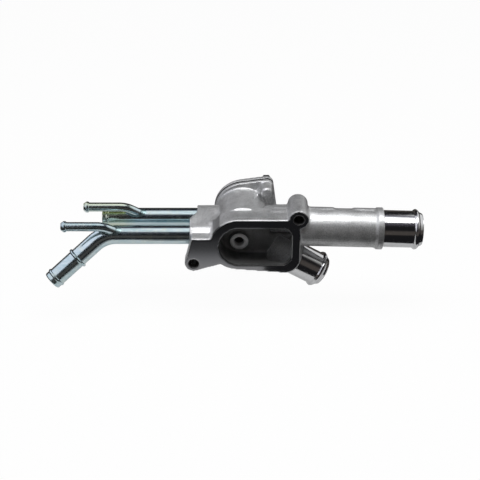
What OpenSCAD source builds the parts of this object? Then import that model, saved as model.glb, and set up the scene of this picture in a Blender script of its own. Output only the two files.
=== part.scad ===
// Coolant thermostat housing: a cast aluminium body with a head flange, a drum for the wax
// thermostat, a long radiator neck, a slanted hose stub and two brazed steel pipes.
// Millimetres. Origin: midway between the head bolts on the flange face.
// X runs along the radiator neck, Y points away from the engine, Z is up.

/* [Head flange] */
// Distance between the two head bolt holes
head_bolt_pitch = 112.4; // [104:0.2:120]
// Slope of the line through the head bolt holes, degrees
head_bolt_slope = 25.84; // [22:0.1:30]
// Diameter of the head bolt holes
head_hole_d = 9.2; // [6:0.1:11]
// Radius of the lower ear
ear_r = 8.8; // [7.5:0.1:11]
// Thickness of the lower ear and its web
ear_t = 12; // [8:0.5:14]
// Radius of the upper bolt boss at the flange face
bolt_boss_r = 9.8; // [8.5:0.1:11]
// Length of the upper bolt boss
bolt_boss_l = 36; // [30:0.5:44]
// Length of the sleeve round the lower bolt hole
ear_boss_l = 20; // [16:0.5:24]

/* [Front chamber] */
// Radius of the rounded left end of the body
body_end_r = 28; // [27:0.1:30]
// Sideways place of the left end's centre
body_end_x = -6.7; // [-9:0.1:-5]
// Height of the body's flat top
body_top_z = 24.4; // [23:0.1:26]
// Right face of the body
body_right_x = 53; // [51:0.1:58]
// Lowest point of the body
body_low_z = -35.6; // [-38:0.1:-34.5]
// Corner radius on the right side
body_corner_r = 15; // [11:0.1:17]
// Width of the flange rim round the opening
rim_w = 9; // [7.5:0.1:10]
// Corner radius of the opening on the right side
opening_corner_r = 10; // [6:0.1:13]
// Depth of the body behind the flange face, left of the neck
body_depth = 26.7; // [25.5:0.1:28]
// Depth of the body at the neck
shoulder_depth = 32; // [29:0.1:36]
// Thickness of the wall between chamber and drum
divider_t = 3.6; // [2.5:0.1:5]
// Bevel along the rear edge of the body
edge_bevel = 2.2; // [1.5:0.1:3]

/* [Drum] */
// Inner radius of the drum
drum_bore_r = 20.4; // [20:0.1:21]
// Mean wall thickness of the drum
drum_wall = 6.1; // [5:0.1:7]
// Offset of the drum's outer wall to the left of its bore
drum_shift = 2.5; // [1.5:0.1:3]
// Rear face of the drum, where the cover is bolted on
drum_rear_y = 64; // [62:0.1:68]
// Radius of the rear flange
rear_flange_r = 31.3; // [30:0.1:33]
// Thickness of the rear flange
rear_flange_t = 4.5; // [3.5:0.1:6]
// Distance between the two cover bolts
cover_bolt_pitch = 69.2; // [67:0.1:73]
// Slope of the line through the cover bolts, degrees
cover_bolt_slope = 53; // [48:0.5:58]
// Radius of the ears round the cover bolts
cover_ear_r = 7; // [6.5:0.1:8]
// Length of the tapped bosses behind the rear flange
tapped_boss_l = 15.5; // [12:0.5:20]
// Diameter of the cover bolts
cover_bolt_d = 6; // [5:0.5:7]

/* [Radiator neck] */
// Cast outer diameter of the neck
neck_d = 37.6; // [36:0.1:39]
// Droop of the neck below horizontal, degrees
neck_droop = 1.6; // [0:0.1:3]
// Length from the drum axis to the tip of the neck
neck_tip_x = 171; // [160:0.5:185]
// Length of the machined spigot
neck_spigot_l = 38.6; // [34:0.1:46]
// Outer diameter of the machined spigot
neck_spigot_d = 36; // [35:0.1:37]
// Inner diameter of the neck
neck_bore_d = 30; // [28:0.1:31]
// Inner diameter of the neck where it passes under the bolt boss
neck_throat_d = 25; // [23:0.1:25.5]

/* [Slanted stub] */
// Outer diameter of the stub
stub_d = 33; // [32:0.1:34]
// Inner diameter of the stub
stub_bore_d = 27; // [25:0.1:28]
// Angle of the stub below horizontal, degrees
stub_slope = 30.5; // [28:0.5:34]
// Length of the stub from its root near the drum axis
stub_l = 77.6; // [74:0.1:86]

/* [Steel pipes] */
// Outer diameter of both pipes
pipe_d = 18.4; // [17.5:0.1:19]
// Wall of both pipes
pipe_wall = 1.5; // [1:0.1:2]
// Distance of the heater pipe's axis behind the flange face, as of neck and stub
axis_y = 20; // [19.5:0.1:21]
// Height of the heater pipe's axis
heater_z = -3.6; // [-5:0.1:-2.5]
// Length of the heater pipe's straight run up to the corner of its bend
heater_corner_x = 138.8; // [132:0.1:145]
// Bend of the heater pipe, degrees
heater_bend = 42; // [36:0.5:48]
// Radius of the bend
heater_bend_r = 32; // [28:0.5:36]
// Roll of the bend out of the vertical towards the engine, degrees
heater_roll = 32; // [20:1:40]
// Length of the bent leg from the corner to the tip
heater_leg_l = 68; // [64:0.5:76]
// Distance of the return pipe's axis behind the flange face
return_y = 46; // [45:0.1:47]
// Height of the return pipe's axis
return_z = 0.9; // [-1:0.1:2]
// Distance of the return pipe's tip from the drum axis
return_tip_x = 141.7; // [130:0.1:150]

/* [Branch tubes] */
// Outer diameter of the branch tubes
branch_d = 9; // [8:0.1:9.6]
// Wall of the branch tubes
branch_wall = 1; // [0.8:0.1:1.5]
// Bend of the branch tubes, degrees
branch_bend = 38; // [34:0.5:44]
// Radius of the branch bend
branch_bend_r = 18; // [15:0.5:21]
// Height of the heater branch above its pipe
heater_branch_rise = 14.6; // [14.2:0.1:17]
// Roll of the heater branch about its pipe towards the engine, degrees
heater_branch_roll = 27; // [15:1:35]
// Distance of the heater branch's tip from the drum axis
heater_branch_tip_x = 178.5; // [170:0.5:190]
// Distance of the heater branch's bend from the drum axis
heater_branch_bend_x = 144.5; // [135:0.5:150]
// Height of the return branch above its pipe
return_branch_rise = 16.2; // [15.2:0.1:18]
// Roll of the return branch about its pipe towards the engine, degrees
return_branch_roll = 22; // [15:1:35]
// Distance of the return branch's tip from the drum axis
return_branch_tip_x = 159; // [150:0.5:170]
// Distance of the return branch's bend from the drum axis
return_branch_bend_x = 124; // [116:0.5:130]

/* [Rear cover] */
// Thickness of the gasket
gasket_t = 1.2; // [0.8:0.1:2]
// Thickness of the cover flange
cover_flange_t = 5; // [4:0.1:6]
// Outer radius of the cover's cup
cup_r = 21.6; // [21.2:0.1:22.4]
// Wall of the cover
cover_wall = 3; // [2.5:0.1:3.2]
// Distance of the cover's hose neck behind its flange
cover_neck_back = 17.8; // [17:0.1:22]
// Outer diameter of the cover's hose neck
cover_neck_d = 32; // [31:0.1:33]
// Length of the cover's hose neck below the drum axis
cover_neck_l = 66; // [60:0.5:72]

/* [Thermostat] */
// Radius of the thermostat's plate
plate_r = 22.6; // [22.2:0.1:23]
// Sheet thickness of plate and frame
sheet_t = 1.3; // [1:0.1:1.6]
// Radius of the valve opening
seat_r = 14; // [12.5:0.1:14.4]
// Overlap of the valve disc on its seat
seat_lap = 1.8; // [1.2:0.1:2]
// Travel of the valve from closed to full open
valve_lift = 8; // [6:0.5:8.5]
// Depth of the spring cage below the plate
cage_depth = 20; // [18:0.5:22]
// Radius of the wax capsule
capsule_r = 5.5; // [4.5:0.1:6]
// Radius of the piston pin
pin_r = 1.6; // [1.2:0.1:2]
// Wire diameter of the valve spring
wire_d = 2; // [1.4:0.1:2.2]
// Number of turns of the valve spring
spring_turns = 4; // [3:1:5]

/* [Clearances] */
// Gap between pieces that are pressed or brazed together
joint_gap = 0.05; // [0.02:0.01:0.1]
// Gap between a pipe and its socket, filled with sealant
socket_gap = 0.15; // [0.1:0.01:0.3]
// Gap between pieces that slide or are laid in
slide_gap = 0.4; // [0.3:0.05:0.6]
// Gap between the closed valve disc and its seat
seat_gap = 0.3; // [0.25:0.05:0.5]

/* [Hidden] */
$fn = 96;
over = 1;
belt_inset = 0.02;
weld_lap = 0.5;
weld_step = 0.08;
round_steps = 8;

alloy = [0.68, 0.69, 0.70];
zinc = [0.72, 0.78, 0.80];
brass = [0.78, 0.66, 0.36];
black = [0.08, 0.08, 0.09];
dark_steel = [0.22, 0.22, 0.23];
bright_steel = [0.75, 0.75, 0.74];

head_bolt = polar(head_bolt_pitch / 2, head_bolt_slope);
cover_bolt = polar(cover_bolt_pitch / 2, cover_bolt_slope);
end_centre = [body_end_x, body_top_z - body_end_r];
low_corner = [body_right_x - body_corner_r, body_low_z + body_corner_r];
top_corner = [body_right_x - body_corner_r, body_top_z - body_corner_r];
chamber_depth = body_depth - divider_t + over;
drum_r = drum_bore_r + drum_wall;
drum_front_y = chamber_depth + divider_t;
neck_root_x = 24;
neck_root_z = 6.5;
neck_length = neck_tip_x - neck_root_x;
neck_cast_l = neck_length - neck_spigot_l;
shoulder_x = neck_root_x - 6;
throat_l = head_bolt[0] + bolt_boss_r + 4 - neck_root_x;
stub_root = [9.3, -7];
stub_start = 20;
nose_l = 6;
bead_h = 1.7;
shoulder_l = 8;
pipe_r = pipe_d / 2;
pipe_bore_r = pipe_r - pipe_wall;
socket_l = 15;
boss_wall = 1.8;
heater_boss_x = 54.7;
return_boss_x = 48.3;
heater_seat_x = heater_boss_x - socket_l;
return_seat_x = return_boss_x - socket_l;
seal_r = plate_r + 1.3;
seal_inner_r = plate_r - 3.2;
seal_depth = 3.4;
cover_y = drum_rear_y + gasket_t;
cover_back_y = cover_y + cover_flange_t;
plate_y = drum_rear_y - seal_depth / 2;
valve_top_y = plate_y - seat_gap;
disc_t = 1.6;
disc_r = seat_r + seat_lap;
cage_y = plate_y - cage_depth;
bridge_top_y = plate_y + sheet_t + 12;
guide_r = pin_r + 2.2;
cup_bore_r = cup_r - cover_wall;

function polar(r, a) = [r * cos(a), r * sin(a)];

// Outer tangent points of two circles: angle of the tangent's normal about the line of centres
function tangent_swing(c1, r1, c2, r2) = acos((r1 - r2) / norm(c2 - c1));
function heading(a, b) = atan2(b[1] - a[1], b[0] - a[0]);

// Points along an arc, for the rounded edges of turned profiles
function arc(centre, r, from, to) =
    [for (i = [0 : round_steps]) centre + polar(r, from + (to - from) * i / round_steps)];

// Outline drawn in X and Z, carried from y0 to y1
module slab(y0, y1) {
    translate([0, y1, 0]) rotate([90, 0, 0]) linear_extrude(y1 - y0) children();
}

// Axis changes for turned shapes
module along_x() { rotate([0, 90, 0]) children(); }
module along_y() { rotate([-90, 0, 0]) children(); }

// Two circles and the straight belt round them
module belt(c1, r1, c2, r2) {
    a = heading(c1, c2);
    b = tangent_swing(c1, r1, c2, r2);
    translate(c1) circle(r1);
    translate(c2) circle(r2);
    polygon([c1 + polar(r1 - belt_inset, a + b), c2 + polar(r2 - belt_inset, a + b),
             c2 + polar(r2 - belt_inset, a - b), c1 + polar(r1 - belt_inset, a - b)]);
}

// Round bar with a rolled bead near its tip and a tapered nose, standing on z = 0
module spigot(r, length, bead, nose) {
    bead_z = length - nose;
    cylinder(r = r, h = bead_z);
    translate([0, 0, bead_z]) cylinder(r1 = r, r2 = r - nose * 0.4, h = nose);
    rolled_bead(r, bead_z, bead);
}

// Raised ring of round section on a bar of radius r
module rolled_bead(r, z, height) {
    section = height * 1.5;
    translate([0, 0, z]) rotate_extrude() translate([r + height - section, 0]) circle(section);
}

// Round boss whose far end is rounded over
module domed_boss(r, length, round) {
    rotate_extrude()
        polygon(concat([[0, 0], [r, 0]], arc([r - round, length - round], round, 0, 90), [[0, length]]));
}

// Outline of the flange face
module body_outline() {
    belt(end_centre, body_end_r, low_corner, body_corner_r);
    belt(end_centre, body_end_r, top_corner, body_corner_r);
    belt(low_corner, body_corner_r, top_corner, body_corner_r);
}

// Outline of the opening, a rim's width inside the body
module opening_outline() {
    mid_z = (body_low_z + body_top_z) / 2;
    end_r = body_end_r - rim_w + 1.7;
    end = [body_end_x + 1.7, mid_z];
    corner_x = body_right_x - rim_w - opening_corner_r;
    corner_z = end_r - opening_corner_r;
    for (side = [-1, 1])
        belt(end, end_r, [corner_x, mid_z + side * corner_z], opening_corner_r);
    belt([corner_x, mid_z - corner_z], opening_corner_r, [corner_x, mid_z + corner_z], opening_corner_r);
}

// Lower ear with the web that ties it to the body and to the heater boss
module ear_outline() {
    ear = -head_bolt;
    hip = [body_end_x - 20.3, -10.5];
    hip_r = 15;
    web_top = heater_z + 7;
    web_lean = 7;
    toe = 6;
    belt(ear, ear_r, hip, hip_r);
    polygon([[ear[0] - ear_r, ear[1]], [ear[0] - ear_r + web_lean, web_top], [hip[0], web_top],
             [hip[0], ear[1] + toe], ear]);
}

// Plate shared by the rear flange, the gasket and the cover flange
module cover_plate(y0, y1) {
    b = tangent_swing([0, 0], rear_flange_r, cover_bolt, cover_ear_r);
    translate([0, y0, 0]) along_y() cylinder(r = rear_flange_r, h = y1 - y0);
    at_cover_bolts() translate([0, y0, 0]) along_y() cylinder(r = cover_ear_r, h = y1 - y0);
    for (side = [-1, 1], swing = [-b, b])
        slab(y0, y1) polygon([[0, 0], side * polar(rear_flange_r - belt_inset, cover_bolt_slope + swing),
            side * (cover_bolt + polar(cover_ear_r - belt_inset, cover_bolt_slope + swing)), side * cover_bolt]);
}

module at_cover_bolts() {
    for (side = [-1, 1])
        translate([side * cover_bolt[0], 0, side * cover_bolt[1]]) children();
}

module at_neck() {
    translate([neck_root_x, axis_y, neck_root_z]) rotate([0, 90 + neck_droop, 0]) children();
}

module at_stub() {
    translate([stub_root[0], axis_y, stub_root[1]]) rotate([0, 90 + stub_slope, 0]) children();
}

// Both pipe bosses, tied by a web and cut off along a slanted face
module pipe_bosses() {
    boss_r = pipe_r + boss_wall;
    root_x = 12;
    reach = heater_boss_x - root_x;
    slim = 0.5;
    pad_front = 5;
    pad_drop = 1.4;
    pad_w = 13;
    slant = [[-heater_boss_x - over, axis_y + boss_r], [-heater_boss_x, axis_y + boss_r],
             [-return_boss_x, return_y - boss_r / 2], [-return_boss_x, return_y + 2 * boss_r],
             [-heater_boss_x - over, return_y + 2 * boss_r]];
    difference() {
        translate([-heater_boss_x, 0, 0]) rotate([90, 0, 90]) linear_extrude(reach)
            union() {
                belt([axis_y, heater_z], boss_r, [return_y, return_z], boss_r - slim);
                translate([return_y - pad_front, return_z]) square([pad_w, boss_r - pad_drop]);
            }
        translate([0, 0, -3 * boss_r]) linear_extrude(6 * boss_r) polygon(slant);
    }
}

// Drum with its rear flange, foot fillet and tapped bosses
module drum_shell() {
    flange_y = drum_rear_y - rear_flange_t;
    foot = 2;
    boss_step = 0.8;
    core_r = 3;
    translate([-drum_shift, axis_y, 0]) along_y() cylinder(r = drum_r, h = drum_rear_y - axis_y);
    translate([-drum_shift, flange_y, 0]) along_y() rotate_extrude()
        polygon(concat([[drum_r - over, over], [drum_r - over, -foot]],
                       arc([drum_r + foot, -foot], foot, 180, 90), [[drum_r + foot, over]]));
    cover_plate(flange_y, drum_rear_y);
    at_cover_bolts()
        translate([0, flange_y + over, 0]) rotate([90, 0, 0])
            domed_boss(cover_ear_r - boss_step, tapped_boss_l + over, cover_ear_r - core_r);
    slab(flange_y - tapped_boss_l + cover_ear_r, flange_y + over)
        rotate(cover_bolt_slope) square([cover_bolt_pitch, 1.5 * cover_ear_r], center = true);
}

// Neck with its shoulder ring, low casting pads and machined spigot
module neck_shell() {
    shoulder_sink = 2.3;
    pad_h = 0.9;
    pad_low = 3;
    pad_w = 13;
    root_pad_l = 60;
    end_pad_l = 20;
    end_pad_z = neck_cast_l - shoulder_l - end_pad_l;
    at_neck() {
        cylinder(r = neck_d / 2, h = neck_cast_l);
        translate([0, 0, neck_cast_l - shoulder_l / 2])
            rotate_extrude() translate([neck_d / 2 - shoulder_sink, 0]) circle(shoulder_l / 2);
        translate([0, 0, neck_cast_l])
            spigot(neck_spigot_d / 2, neck_spigot_l, bead_h, nose_l);
        for (pad = [[over, root_pad_l], [end_pad_z, end_pad_l]])
            intersection() {
                translate([0, 0, pad[0]]) cylinder(r = neck_d / 2 + pad_h, h = pad[1]);
                translate([-neck_d, pad_low, pad[0]]) cube([neck_d, pad_w, pad[1]]);
            }
    }
}

// Sloping cut along the body's rear edge, round its left end and along its top
module rear_bevel() {
    arc_from = 135;
    far = edge_bevel + over;
    translate([end_centre[0], body_depth, end_centre[1]]) along_y() rotate(arc_from)
        rotate_extrude(angle = 270 - arc_from)
            polygon([[body_end_r - far, over], [body_end_r + over, -far], [body_end_r + over, over]]);
    translate([end_centre[0], body_depth, body_top_z]) rotate([90, 0, 90])
        linear_extrude(shoulder_x - end_centre[0])
            polygon([[over, -far], [over, over], [-far, over]]);
}

// Outer shapes of the casting before anything is bored out
module casting() {
    difference() {
        slab(0, body_depth) body_outline();
        rear_bevel();
    }
    intersection() {
        slab(0, shoulder_depth) body_outline();
        translate([shoulder_x, 0, body_low_z]) cube([body_right_x, shoulder_depth, 2 * body_right_x]);
    }
    slab(0, ear_t) ear_outline();
    translate([-head_bolt[0], 0, -head_bolt[1]]) along_y() 
        cylinder(d = head_hole_d + divider_t, h = ear_boss_l);
    translate([head_bolt[0], 0, head_bolt[1]]) along_y() domed_boss(bolt_boss_r, bolt_boss_l, 3);
    pipe_bosses();
    drum_shell();
    neck_shell();
    at_stub() translate([0, 0, stub_start]) spigot(stub_d / 2, stub_l - stub_start, bead_h, nose_l);
}

// Chamber, drum and water ways
module water_ways() {
    slab(-over, chamber_depth) opening_outline();
    translate([0, drum_front_y, 0]) along_y() cylinder(r = drum_bore_r, h = drum_rear_y);
    translate([0, drum_rear_y - seal_depth, 0]) along_y() cylinder(r = seal_r + joint_gap, h = drum_rear_y);
    at_neck() {
        throat_cone_l = 5;
        cylinder(r = neck_throat_d / 2, h = throat_l);
        translate([0, 0, throat_l - throat_cone_l])
            cylinder(d1 = neck_throat_d, d2 = neck_bore_d, h = throat_cone_l);
        translate([0, 0, throat_l]) cylinder(r = neck_bore_d / 2, h = neck_length - throat_l + over);
    }
    at_stub() translate([0, 0, stub_start]) cylinder(r = stub_bore_d / 2, h = stub_l);
    translate([-heater_boss_x - over, axis_y, heater_z]) along_x() {
        cylinder(r = pipe_r + socket_gap, h = socket_l + over);
        cylinder(r = pipe_bore_r, h = heater_boss_x - drum_bore_r - divider_t / 2);
    }
    translate([-heater_boss_x, return_y, return_z]) along_x()
        cylinder(r = pipe_r + socket_gap, h = heater_boss_x - return_boss_x + socket_l);
    translate([-return_boss_x, return_y, return_z]) along_x()
        cylinder(r = pipe_bore_r, h = return_boss_x - drum_bore_r / 2);
}

// Cast body with all its bores, and the bypass port that stands in the chamber
module housing_body() {
    port = [-6.3, -12];
    port_r = 9.4;
    port_hole_r = 4.9;
    port_l = 4;
    color(alloy) difference() {
        union() {
            difference() {
                casting();
                water_ways();
            }
            translate([port[0], chamber_depth - port_l, port[1]]) along_y()
                cylinder(r = port_r, h = port_l + over);
        }
        for (side = [-1, 1])
            translate([side * head_bolt[0], -over, side * head_bolt[1]]) along_y()
                cylinder(d = head_hole_d, h = bolt_boss_l + 2 * over);
        translate([port[0], 0, port[1]]) along_y() cylinder(r = port_hole_r, h = drum_front_y + over);
        at_cover_bolts()
            translate([0, drum_rear_y - tapped_boss_l, 0]) along_y()
                cylinder(d = cover_bolt_d + 2 * joint_gap, h = tapped_boss_l + over);
    }
}

// Cover: bolted flange, cup over the thermostat's bridge and an elbow to a hose neck that points down
module rear_cover() {
    neck_y = cover_back_y + cover_neck_back;
    cup_depth = 16;
    cup_round = 6;
    elbow_swell = 0.5;
    cup_l = cover_flange_t + cup_depth;
    elbow_z = -3;
    elbow_r = cover_neck_d / 2 + elbow_swell;
    color(alloy) difference() {
        union() {
            cover_plate(cover_y, cover_back_y);
            translate([0, cover_y, 0]) along_y() domed_boss(cup_r, cup_l, cup_round);
            translate([0, neck_y, elbow_z]) sphere(elbow_r);
            translate([0, neck_y, elbow_z]) rotate([180, 0, 0])
                spigot(cover_neck_d / 2, cover_neck_l, bead_h, nose_l);
        }
        translate([0, cover_y - over, 0]) along_y() cylinder(r = cup_bore_r, h = cup_l - cover_wall + over);
        translate([0, neck_y, elbow_z]) sphere(elbow_r - cover_wall);
        translate([0, neck_y, elbow_z]) rotate([180, 0, 0])
            cylinder(r = cover_neck_d / 2 - cover_wall, h = cover_neck_l + over);
        at_cover_bolts()
            translate([0, cover_y - over, 0]) along_y()
                cylinder(d = cover_bolt_d + 2 * slide_gap, h = cover_flange_t + 2 * over);
    }
}

// Flat gasket cut to the flange outline
module cover_gasket() {
    color(black) difference() {
        cover_plate(drum_rear_y, cover_y);
        translate([0, drum_rear_y - over, 0]) along_y() cylinder(r = seal_r + joint_gap, h = gasket_t + 2 * over);
        at_cover_bolts()
            translate([0, drum_rear_y - over, 0]) along_y()
                cylinder(d = cover_bolt_d + 2 * slide_gap, h = gasket_t + 2 * over);
    }
}

// Two flange bolts with hexagon heads
module cover_bolts() {
    washer_t = 1.4;
    head_h = 5.6;
    shank_l = cover_flange_t + gasket_t + tapped_boss_l - 2;
    color(dark_steel) at_cover_bolts()
        translate([0, cover_back_y, 0]) along_y() {
            cylinder(d = 2 * cover_bolt_d, h = washer_t);
            cylinder(d = 1.8 * cover_bolt_d, h = head_h, $fn = 6);
            translate([0, 0, -shank_l]) cylinder(d = cover_bolt_d, h = shank_l);
        }
}

// Pressed plate with the valve seat and the bridge that holds the piston pin
module thermostat_plate() {
    strap_w = 8;
    foot_x = seat_r + 2.4;
    crown_x = guide_r + 1;
    crown_y = bridge_top_y;
    top_y = plate_y + sheet_t;
    color(brass) difference() {
        union() {
            translate([0, plate_y, 0]) along_y() cylinder(r = plate_r, h = sheet_t);
            translate([0, 0, -strap_w / 2]) linear_extrude(strap_w)
                polygon([[-foot_x, top_y], [-crown_x, crown_y], [crown_x, crown_y], [foot_x, top_y],
                         [foot_x - sheet_t * 1.3, top_y], [crown_x - sheet_t, crown_y - sheet_t],
                         [-crown_x + sheet_t, crown_y - sheet_t], [-foot_x + sheet_t * 1.3, top_y]]);
            translate([0, crown_y - 3, 0]) along_y() cylinder(r = guide_r, h = 4);
        }
        translate([0, plate_y - over, 0]) along_y() cylinder(r = seat_r, h = sheet_t + over);
        translate([0, crown_y - 3 - over, 0]) along_y() cylinder(r = pin_r + joint_gap, h = 3 + over);
        translate([0, plate_y - over, seat_r + 3.6]) along_y() cylinder(r = 1.2, h = sheet_t + 2 * over);
    }
}

// Cage under the plate: a ring for the spring, carried by two legs
module thermostat_frame() {
    leg_w = 9;
    leg_x = disc_r + 0.9;
    ring_r = 12.5;
    color(brass) difference() {
        union() {
            translate([0, cage_y, 0]) along_y() cylinder(r = ring_r, h = sheet_t);
            translate([-leg_x - sheet_t, cage_y, -leg_w / 2]) cube([2 * (leg_x + sheet_t), sheet_t, leg_w]);
            for (side = [-1, 1])
                translate([side * (leg_x + sheet_t / 2), (cage_y + plate_y) / 2, 0])
                    cube([sheet_t, plate_y - cage_y, leg_w], center = true);
        }
        translate([0, cage_y - over, 0]) along_y() cylinder(r = capsule_r + slide_gap, h = sheet_t + 2 * over);
    }
}

// Rubber ring that grips the plate's edge between drum and cover
module thermostat_seal() {
    color(black) translate([0, drum_rear_y - seal_depth, 0]) along_y()
        difference() {
            cylinder(r = seal_r, h = seal_depth + gasket_t);
            translate([0, 0, -over]) cylinder(r = seal_inner_r, h = seal_depth + gasket_t + 2 * over);
            translate([0, 0, seal_depth / 2]) cylinder(r = plate_r, h = sheet_t);
        }
}

// Dished disc that closes the valve opening from below
module valve_disc() {
    dish_r = seat_r - 2.5;
    color(brass) translate([0, valve_top_y - disc_t, 0]) along_y()
        difference() {
            union() {
                cylinder(r = disc_r, h = disc_t);
                translate([0, 0, disc_t]) cylinder(r1 = dish_r, r2 = guide_r + 2, h = 1.8);
            }
            translate([0, 0, -over]) cylinder(r = capsule_r + joint_gap, h = disc_t + over);
            cylinder(r = guide_r + joint_gap, h = disc_t + 3);
        }
}

// Wax capsule with the guide for the piston pin
module wax_capsule() {
    guide_l = 4;
    tip_y = cage_y - 4;
    shoulder_y = valve_top_y;
    color(brass) difference() {
        union() {
            translate([0, tip_y, 0]) along_y() cylinder(r = capsule_r, h = shoulder_y - tip_y);
            translate([0, shoulder_y - over, 0]) along_y() cylinder(r = guide_r, h = guide_l + over);
        }
        translate([0, cage_y + 6, 0]) along_y() cylinder(r = pin_r + slide_gap, h = cage_depth + guide_l);
    }
}

// Piston pin held in the bridge, reaching down into the capsule
module piston_pin() {
    low_y = cage_y + 6 + 1.5;
    high_y = bridge_top_y;
    color(bright_steel) translate([0, low_y, 0]) along_y() cylinder(r = pin_r, h = high_y - low_y);
}

// Loose vent pin that hangs in a hole of the plate
module jiggle_pin() {
    color(brass) translate([0, plate_y + sheet_t, seat_r + 3.6]) along_y() {
        cylinder(r = 1.5, h = 0.8);
        translate([0, 0, -3]) cylinder(r = 0.7, h = 3);
    }
}

// Closed sweep of rings, each a list of points, into one skin
module swept(rings) {
    sides = len(rings[0]);
    last = len(rings) - 1;
    points = [for (ring = rings) for (p = ring) p];
    walls = [for (i = [0 : last - 1]) for (j = [0 : sides - 1])
        [i * sides + j, i * sides + (j + 1) % sides, (i + 1) * sides + (j + 1) % sides, (i + 1) * sides + j]];
    front = [for (j = [0 : sides - 1]) sides - 1 - j];
    back = [for (j = [0 : sides - 1]) last * sides + j];
    polyhedron(points, concat(walls, [front, back]));
}

// Helical spring between the cage ring and the valve disc
module valve_spring() {
    sides = 8;
    per_turn = 18;
    coil_r = capsule_r + wire_d + 2;
    low = cage_y + sheet_t + wire_d / 2 + joint_gap;
    high = valve_top_y - disc_t - wire_d / 2 - joint_gap;
    steps = spring_turns * per_turn;
    rings = [for (i = [0 : steps]) let (a = 360 * i / per_turn, y = low + (high - low) * i / steps)
        [for (j = [0 : sides - 1]) let (b = 360 * j / sides, r = coil_r + wire_d / 2 * cos(b))
            [r * cos(a), y + wire_d / 2 * sin(b), r * sin(a)]]];
    color(bright_steel) swept(rings);
}

// Straight tube, bend and leg in the XY plane, starting along +X at the origin
module bent_tube(r, wall, straight, bend_r, bend, leg) {
    along_x() tube(r, wall, straight);
    translate([straight, bend_r, 0]) rotate(-90) rotate_extrude(angle = bend)
        translate([bend_r, 0]) difference() {
            circle(r);
            circle(r - wall);
        }
    bent_end(straight, bend_r, bend) translate([0, 0, -weld_lap])
        tube(r - weld_step, wall - 2 * weld_step, leg + weld_lap);
}

// Straight tube standing on z = 0
module tube(r, wall, length) {
    difference() {
        cylinder(r = r, h = length);
        translate([0, 0, -over]) cylinder(r = r - wall, h = length + 2 * over);
    }
}

// Rolled bead on a tube, open for the tube's bore
module tube_bead(r, wall, z, height) {
    difference() {
        rolled_bead(r, z, height);
        translate([0, 0, z - 3 * height]) cylinder(r = r - wall / 2, h = 6 * height);
    }
}

// Places a turned end at the end of a tube's bend
module bent_end(straight, bend_r, bend) {
    translate([straight + bend_r * sin(bend), bend_r * (1 - cos(bend)), 0]) rotate(bend) along_x() children();
}

// Length of a branch's slanted leg, from its bend to the axis of its pipe
function branch_leg(rise) = (rise - branch_bend_r * (1 - cos(branch_bend))) / sin(branch_bend);

// Places a shape on the axis of a branch's slanted leg, at the end of the bend
module at_branch_leg(bend_x, rise) {
    translate([-bend_x, 0, rise]) rotate([-90, 0, 0])
        bent_end(0, branch_bend_r, branch_bend) children();
}

// Hole that a branch needs in its pipe
module branch_drill(bend_x, rise, roll) {
    leg = branch_leg(rise);
    lip = 0.9;
    rotate([roll, 0, 0]) at_branch_leg(bend_x, rise) translate([0, 0, leg - 2 * pipe_r])
        cylinder(r = branch_d / 2 - branch_wall - lip, h = 2 * pipe_r);
}

// Branch tube with its end bead and braze fillet, cut to sit on its pipe
module branch(tip_x, bend_x, rise, roll) {
    r = branch_d / 2;
    leg = branch_leg(rise);
    foot_l = 0.65 * pipe_r;
    foot_back = pipe_r / sin(branch_bend) + 2;
    foot_flare = 3;
    bead_back = 4;
    bead_rise = 0.9;
    rotate([roll, 0, 0]) difference() {
        union() {
            translate([-tip_x, 0, rise]) rotate([-90, 0, 0])
                bent_tube(r, branch_wall, tip_x - bend_x, branch_bend_r, branch_bend, leg);
            translate([-tip_x, 0, rise]) along_x() tube_bead(r, branch_wall, bead_back, bead_rise);
            at_branch_leg(bend_x, rise) translate([0, 0, leg - foot_back])
                difference() {
                    cylinder(r1 = r - branch_wall / 4, r2 = r + foot_flare, h = foot_l);
                    translate([0, 0, -over]) cylinder(r = r - branch_wall / 2, h = foot_l + 2 * over);
                }
        }
        translate([-bend_x, 0, 0]) along_x() cylinder(r = pipe_r + joint_gap, h = bend_x);
    }
}

// Bent pipe with a stop bead and an end bead, drilled for its branch
module heater_pipe() {
    tangent = heater_bend_r * tan(heater_bend / 2);
    straight = heater_corner_x - heater_seat_x - tangent;
    leg = heater_leg_l - tangent;
    stop_back = 34;
    stop_h = 1.6;
    tip_back = 6;
    tip_h = 0.8;
    color(zinc) translate([0, axis_y, heater_z]) difference() {
        translate([-heater_seat_x, 0, 0]) rotate([90 - heater_roll, 0, 0]) rotate(180) {
            bent_tube(pipe_r, pipe_wall, straight, heater_bend_r, heater_bend, leg);
            bent_end(straight, heater_bend_r, heater_bend) {
                tube_bead(pipe_r, pipe_wall, leg - stop_back, stop_h);
                tube_bead(pipe_r, pipe_wall, leg - tip_back, tip_h);
            }
        }
        branch_drill(heater_branch_bend_x, heater_branch_rise, heater_branch_roll);
    }
}

// Branch tube of the heater pipe
module heater_branch() {
    color(zinc) translate([0, axis_y, heater_z])
        branch(heater_branch_tip_x, heater_branch_bend_x, heater_branch_rise, heater_branch_roll);
}

// Straight pipe with an end bead, drilled for its branch
module return_pipe() {
    length = return_tip_x - return_seat_x;
    tip_back = 5;
    tip_h = 0.9;
    color(zinc) translate([0, return_y, return_z]) difference() {
        translate([-return_seat_x, 0, 0]) rotate([0, -90, 0]) {
            tube(pipe_r, pipe_wall, length);
            tube_bead(pipe_r, pipe_wall, length - tip_back, tip_h);
        }
        branch_drill(return_branch_bend_x, return_branch_rise, return_branch_roll);
    }
}

// Branch tube of the return pipe
module return_branch() {
    color(zinc) translate([0, return_y, return_z])
        branch(return_branch_tip_x, return_branch_bend_x, return_branch_rise, return_branch_roll);
}

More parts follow.
